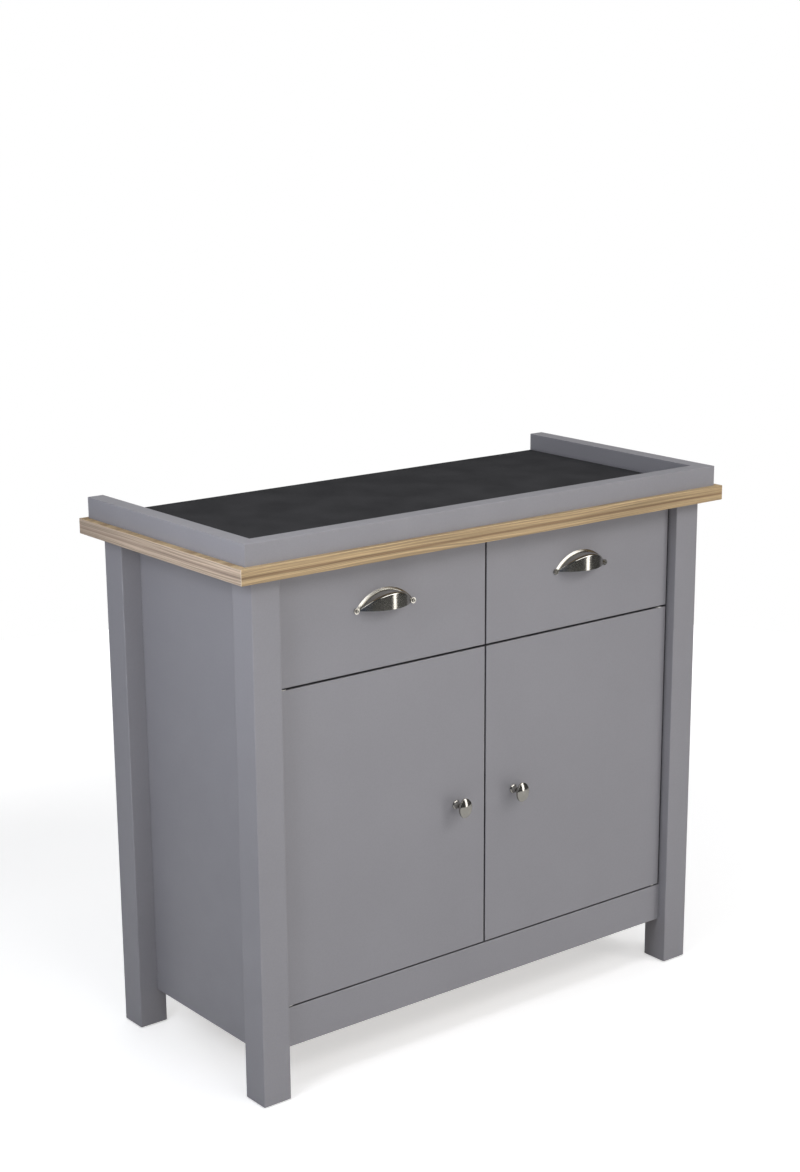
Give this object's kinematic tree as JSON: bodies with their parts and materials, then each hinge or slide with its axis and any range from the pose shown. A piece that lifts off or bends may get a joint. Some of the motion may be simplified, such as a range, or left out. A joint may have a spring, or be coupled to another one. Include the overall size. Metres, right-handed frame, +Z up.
{
  "type": "aquarium stand cabinet",
  "caption": "Square-legged aquarium stand cabinet with an oak-effect worktop, a raised tank rim, shallow drawers over inset doors, cup pulls and oval knobs.",
  "frame": {"origin": "on the floor, under the middle of the worktop", "axes": "+X to the right along the worktop, -Y towards the doors, +Z up"},
  "size_m": [0.876, 0.408, 0.802],
  "materials": {
    "painted_board": "satin mid-grey painted board",
    "oak_board": "oak-effect, satin, grain along the length",
    "carcass_board": "mid-grey melamine-faced board",
    "drawer_board": "mid-grey melamine-faced board",
    "hardboard": "thin lacquered hardboard",
    "nickel": "polished brushed nickel",
    "zinc_steel": "zinc-plated",
    "black_steel": "thin black lacquer",
    "black_plastic": "matt moulded",
    "nylon": "natural nylon",
    "foam": "closed-cell foam",
    "beech": "plain beech"
  },
  "bodies": {
    "carcass": {"back_panel": "hardboard", "back_panel_nails": "zinc_steel", "cam_bolts": "zinc_steel", "cam_locks": "zinc_steel", "carcass_screws": "zinc_steel", "centre_partition": "carcass_board", "drawer_deck_left": "carcass_board", "drawer_deck_right": "carcass_board", "floor_panel": "carcass_board", "foot_glides": "black_plastic", "leg_dowels": "beech", "leg_front_left": "painted_board", "leg_front_right": "painted_board", "leg_rear_left": "painted_board", "leg_rear_right": "painted_board", "levelling_mat": "foam", "lower_rail_front": "painted_board", "lower_rail_rear": "painted_board", "magnetic_catches": "black_plastic", "pivot_plates": "black_steel", "rim_front": "painted_board", "rim_left": "painted_board", "rim_right": "painted_board", "runner_cabinet_members": "zinc_steel", "shelf_left": "carcass_board", "shelf_pins": "zinc_steel", "shelf_right": "carcass_board", "side_panel_left": "painted_board", "side_panel_right": "painted_board", "top_rail_front": "carcass_board", "top_rail_rear": "carcass_board", "worktop": "oak_board"},
    "left_drawer": {"cup_pull_left": "nickel", "drawer_back_left": "drawer_board", "drawer_bottom_left": "hardboard", "drawer_front_left": "painted_board", "drawer_screws_left": "zinc_steel", "drawer_side_inner_left": "drawer_board", "drawer_side_outer_left": "drawer_board", "runner_drawer_members_left": "zinc_steel"},
    "right_drawer": {"cup_pull_right": "nickel", "drawer_back_right": "drawer_board", "drawer_bottom_right": "hardboard", "drawer_front_right": "painted_board", "drawer_screws_right": "zinc_steel", "drawer_side_inner_right": "drawer_board", "drawer_side_outer_right": "drawer_board", "runner_drawer_members_right": "zinc_steel"},
    "left_runner_middles": {"runner_middle_members_left": "zinc_steel"},
    "right_runner_middles": {"runner_middle_members_right": "zinc_steel"},
    "left_door": {"catch_strike_left": "zinc_steel", "door_knob_left": "nickel", "door_left": "painted_board", "knob_screw_left": "zinc_steel", "pivot_bushes_left": "nylon"},
    "right_door": {"catch_strike_right": "zinc_steel", "door_knob_right": "nickel", "door_right": "painted_board", "knob_screw_right": "zinc_steel", "pivot_bushes_right": "nylon"}
  },
  "joints": [
    {"name": "left_drawer_slide", "type": "slide", "parent": "carcass", "child": "left_drawer", "axis": [0, -1, 0], "range_m": [0, 0.25]},
    {"name": "left_runner_slide", "type": "slide", "parent": "carcass", "child": "left_runner_middles", "axis": [0, -1, 0], "range_m": [0, 0.125]},
    {"name": "left_door_hinge", "type": "hinge", "parent": "carcass", "child": "left_door", "pos_m": [-0.35, -0.16, 0.36], "axis": [0, 0, -1], "range_deg": [0, 100]},
    {"name": "right_drawer_slide", "type": "slide", "parent": "carcass", "child": "right_drawer", "axis": [0, -1, 0], "range_m": [0, 0.25]},
    {"name": "right_runner_slide", "type": "slide", "parent": "carcass", "child": "right_runner_middles", "axis": [0, -1, 0], "range_m": [0, 0.125]},
    {"name": "right_door_hinge", "type": "hinge", "parent": "carcass", "child": "right_door", "pos_m": [0.35, -0.16, 0.36], "axis": [0, 0, 1], "range_deg": [0, 100]}
  ],
  "couplings": [
    {"joint": "left_runner_slide", "follows": "left_drawer_slide", "ratio": 0.5},
    {"joint": "right_runner_slide", "follows": "right_drawer_slide", "ratio": 0.5}
  ]
}
